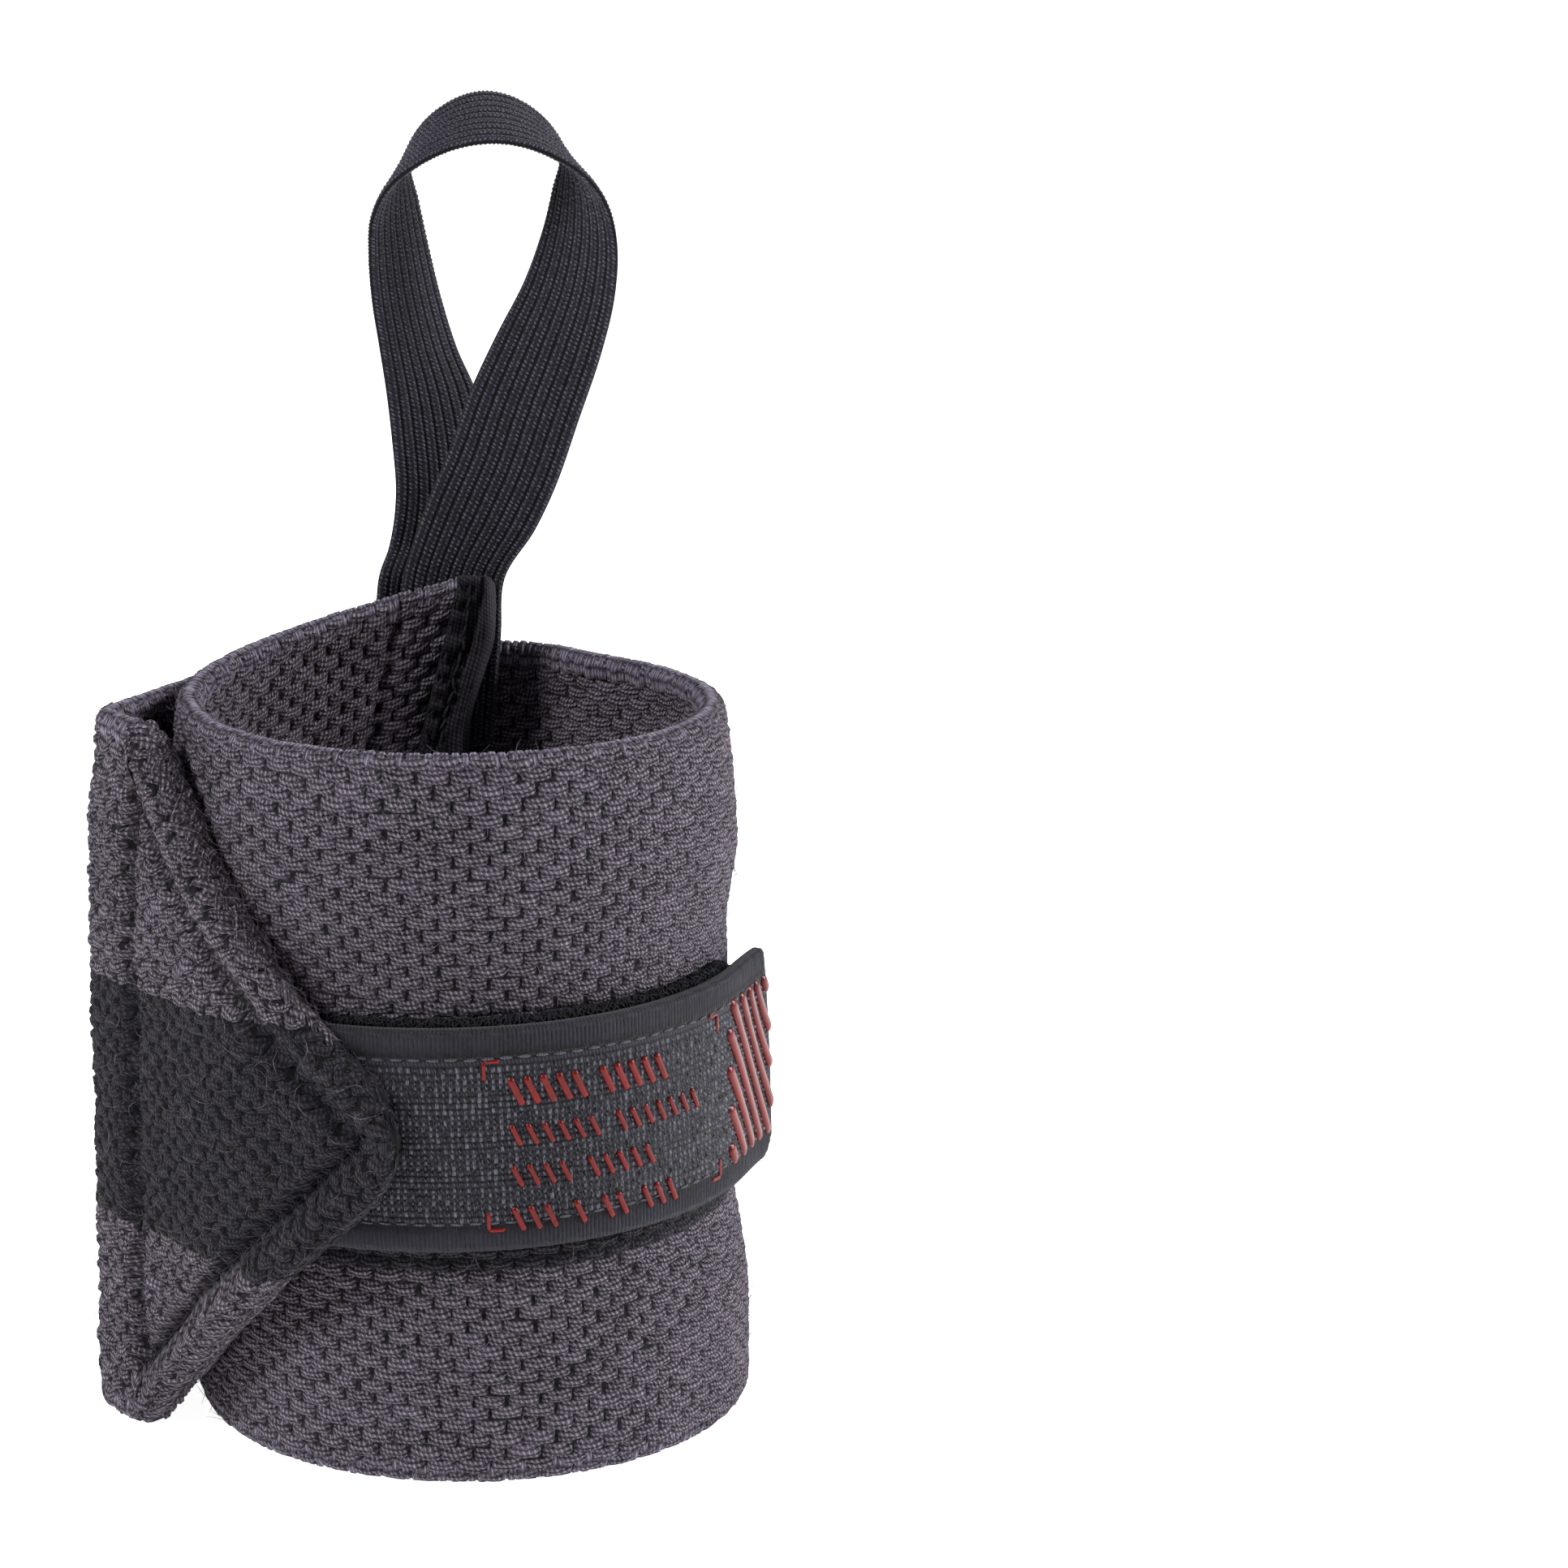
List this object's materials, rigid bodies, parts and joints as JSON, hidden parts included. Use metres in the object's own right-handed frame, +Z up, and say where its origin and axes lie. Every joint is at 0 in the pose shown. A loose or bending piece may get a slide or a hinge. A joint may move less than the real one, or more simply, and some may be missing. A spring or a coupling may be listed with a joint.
{
  "type": "wrist wrap",
  "caption": "Elastic wrist wrap wound into a tube, with a twisted thumb loop, a folded point and a hook closure tab.",
  "frame": {"origin": "on the floor under the middle of the object's box", "axes": "+Z up along the tube, -Y towards the folded point and the closure tab's middle"},
  "size_m": [0.0756, 0.0708, 0.1446],
  "materials": {
    "knit": "matte",
    "binding": "satin",
    "elastic": "matte",
    "hook": "matte",
    "webbing": "satin"
  },
  "bodies": {
    "root": {"elastic_band": "knit", "end_binding": "binding", "thumb_loop": "elastic", "hook_strip": "hook", "closure_tab": "webbing"}
  },
  "joints": []
}
